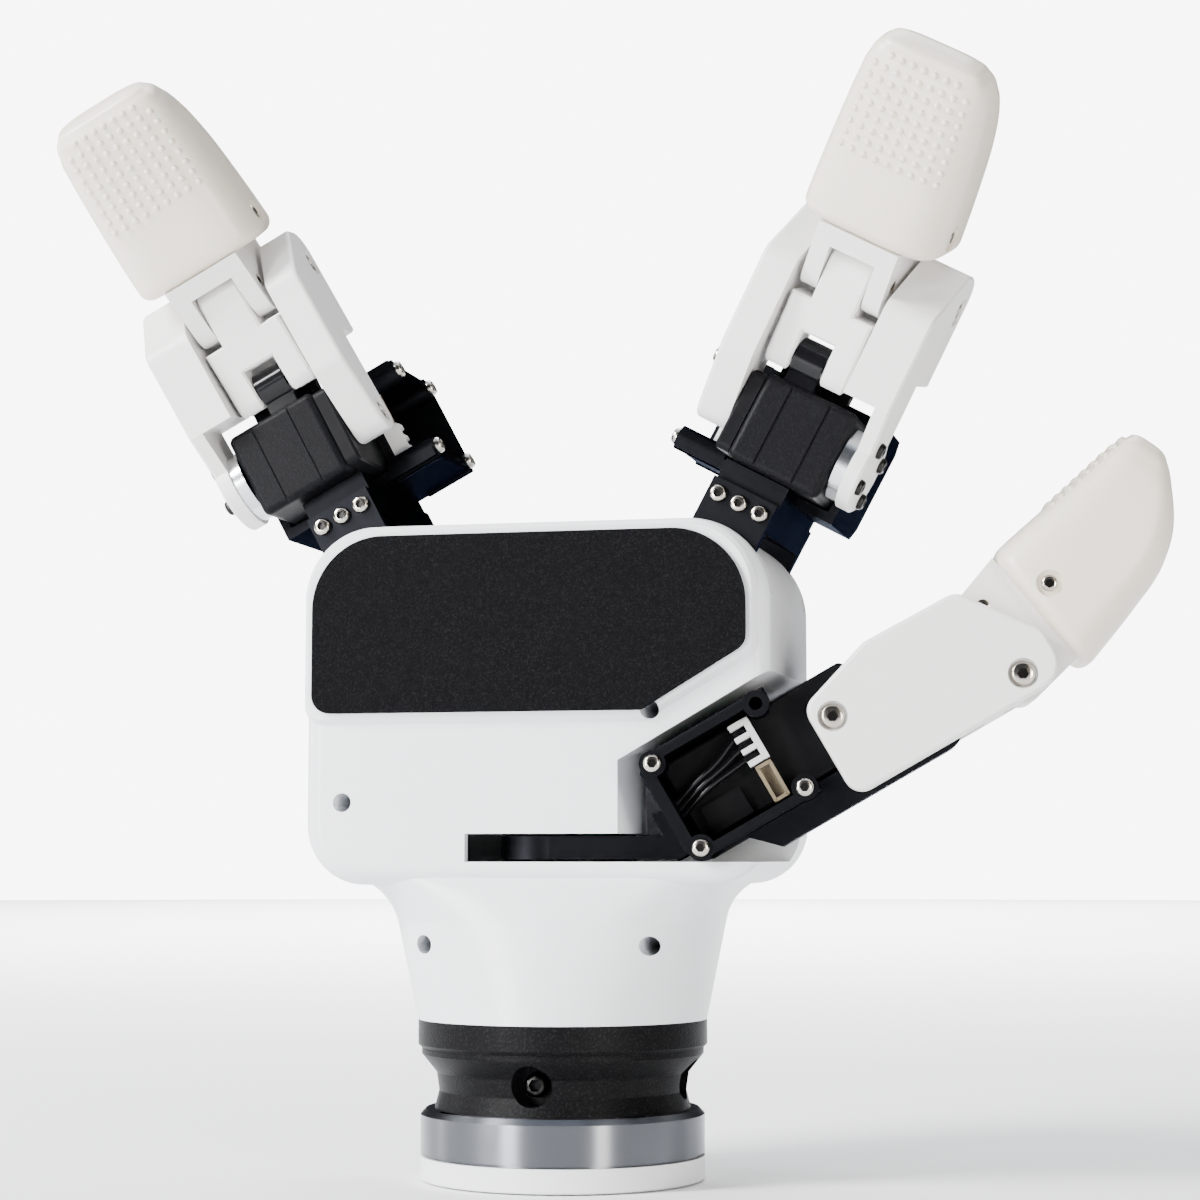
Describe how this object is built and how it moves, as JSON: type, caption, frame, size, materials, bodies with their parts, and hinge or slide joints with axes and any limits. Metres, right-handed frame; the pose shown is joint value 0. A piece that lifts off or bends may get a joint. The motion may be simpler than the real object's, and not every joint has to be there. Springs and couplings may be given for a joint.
{
  "type": "robotic hand",
  "caption": "Adaptive gripper hand with two spreading fingers and a swinging opposed thumb, each driven through a coupled link, on a round robot tool flange.",
  "frame": {"origin": "centre of the flange's mounting face, at the bottom of the base ring", "axes": "+Z from the flange towards the fingertips, -Y the palm side, +X the thumb side"},
  "size_m": [0.2387, 0.0894, 0.2396],
  "materials": {
    "white_ring": "satin",
    "turned_aluminium": "turned",
    "black_wrist": "fine texture",
    "steel": "machined",
    "white_shell": "satin",
    "pad": "fine speckled foam",
    "sheet_aluminium": "satin",
    "servo_grey": "fine texture",
    "servo_black": "satin",
    "board": "coated",
    "black_anodised": "anodised satin",
    "plug_white": "moulded",
    "link_white": "printed satin",
    "tip_rubber": "matte"
  },
  "bodies": {
    "palm": {"base_ring": "white_ring", "flange_ring": "turned_aluminium", "neck_coupling": "black_wrist", "wrist_collar": "black_wrist", "clamp_screws": "steel", "palm_front_shell": "white_shell", "palm_back_shell": "white_shell", "palm_pad": "pad", "shell_screws": "steel", "palm_chassis": "sheet_aluminium", "left_spread_servo": "servo_grey", "right_spread_servo": "servo_grey", "thumb_swing_servo": "servo_grey", "control_board": "board"},
    "left_knuckle": {"left_knuckle_front_plate": "black_anodised", "left_knuckle_rear_plate": "black_anodised", "left_actuator_case": "servo_grey", "left_actuator_back_cover": "servo_black", "left_actuator_frame": "black_anodised", "left_frame_screws": "steel", "left_actuator_lead": "plug_white", "left_linkage_anchor": "servo_black"},
    "left_proximal": {"left_output_horn": "sheet_aluminium", "left_proximal_link": "link_white", "left_proximal_screws": "steel"},
    "left_tip": {"left_distal_bracket": "link_white", "left_tip_screws": "steel", "left_fingertip": "tip_rubber"},
    "left_coupler": {"left_coupler_link": "link_white"},
    "right_knuckle": {"right_knuckle_front_plate": "black_anodised", "right_knuckle_rear_plate": "black_anodised", "right_actuator_case": "servo_grey", "right_actuator_back_cover": "servo_black", "right_actuator_frame": "black_anodised", "right_frame_screws": "steel", "right_actuator_lead": "plug_white", "right_linkage_anchor": "servo_black"},
    "right_proximal": {"right_output_horn": "sheet_aluminium", "right_proximal_link": "link_white", "right_proximal_screws": "steel"},
    "right_tip": {"right_distal_bracket": "link_white", "right_tip_screws": "steel", "right_fingertip": "tip_rubber"},
    "right_coupler": {"right_coupler_link": "link_white"},
    "thumb_base": {"thumb_swing_arm": "black_anodised", "thumb_actuator_case": "servo_grey", "thumb_actuator_back_cover": "servo_black", "thumb_actuator_frame": "black_anodised", "thumb_frame_screws": "steel", "thumb_actuator_lead": "plug_white", "thumb_linkage_anchor": "servo_black"},
    "thumb_proximal": {"thumb_output_horn": "sheet_aluminium", "thumb_proximal_link": "link_white", "thumb_proximal_screws": "steel"},
    "thumb_tip": {"thumb_distal_bracket": "link_white", "thumb_tip_screws": "steel", "thumb_fingertip": "tip_rubber"},
    "thumb_coupler": {"thumb_coupler_link": "link_white"}
  },
  "joints": [
    {"name": "left_spread", "type": "hinge", "parent": "palm", "child": "left_knuckle", "pos_m": [-0.0335, 0, 0.125], "axis": [0, -1, 0], "range_deg": [-20, 22]},
    {"name": "right_spread", "type": "hinge", "parent": "palm", "child": "right_knuckle", "pos_m": [0.0335, 0, 0.125], "axis": [0, 1, 0], "range_deg": [-20, 22]},
    {"name": "thumb_swing", "type": "hinge", "parent": "palm", "child": "thumb_base", "pos_m": [-0.001, -0.017, 0.0725], "axis": [0, 0, -1], "range_deg": [0, 90]},
    {"name": "left_flex", "type": "hinge", "parent": "left_knuckle", "child": "left_proximal", "pos_m": [-0.05668, -0.019, 0.15977], "axis": [0.8813, 0, 0.4726], "range_deg": [-20, 50]},
    {"name": "left_tip_flex", "type": "hinge", "parent": "left_proximal", "child": "left_tip", "pos_m": [-0.07575, -0.01362, 0.19533], "axis": [0.8813, 0, 0.4726], "range_deg": [-9.3, 22.5]},
    {"name": "left_coupler_swing", "type": "hinge", "parent": "left_tip", "child": "left_coupler", "pos_m": [-0.07416, -0.0301, 0.19237], "axis": [0.8813, 0, 0.4726], "range_deg": [-4.9, 11.5]},
    {"name": "right_flex", "type": "hinge", "parent": "right_knuckle", "child": "right_proximal", "pos_m": [0.05668, -0.019, 0.15977], "axis": [0.8813, 0, -0.4726], "range_deg": [-20, 50]},
    {"name": "right_tip_flex", "type": "hinge", "parent": "right_proximal", "child": "right_tip", "pos_m": [0.07575, -0.01362, 0.19533], "axis": [0.8813, 0, -0.4726], "range_deg": [-9.3, 22.5]},
    {"name": "right_coupler_swing", "type": "hinge", "parent": "right_tip", "child": "right_coupler", "pos_m": [0.07416, -0.0301, 0.19237], "axis": [0.8813, 0, -0.4726], "range_deg": [-4.9, 11.5]},
    {"name": "thumb_flex", "type": "hinge", "parent": "thumb_base", "child": "thumb_proximal", "pos_m": [0.06162, -0.00416, 0.1], "axis": [0.1392, -0.9903, 0], "range_deg": [-10, 22]},
    {"name": "thumb_tip_flex", "type": "hinge", "parent": "thumb_proximal", "child": "thumb_tip", "pos_m": [0.10099, 0.00137, 0.10875], "axis": [0.1392, -0.9903, 0], "range_deg": [-4.9, 10.18]},
    {"name": "thumb_coupler_swing", "type": "hinge", "parent": "thumb_tip", "child": "thumb_coupler", "pos_m": [0.09339, 0.00031, 0.12371], "axis": [0.1392, -0.9903, 0], "range_deg": [-2.7, 5.34]}
  ],
  "couplings": [
    {"joint": "left_tip_flex", "follows": "left_flex", "ratio": 0.44},
    {"joint": "left_coupler_swing", "follows": "left_flex", "ratio": 0.22},
    {"joint": "right_tip_flex", "follows": "right_flex", "ratio": 0.44},
    {"joint": "right_coupler_swing", "follows": "right_flex", "ratio": 0.22},
    {"joint": "thumb_tip_flex", "follows": "thumb_flex", "ratio": 0.44},
    {"joint": "thumb_coupler_swing", "follows": "thumb_flex", "ratio": 0.22}
  ]
}
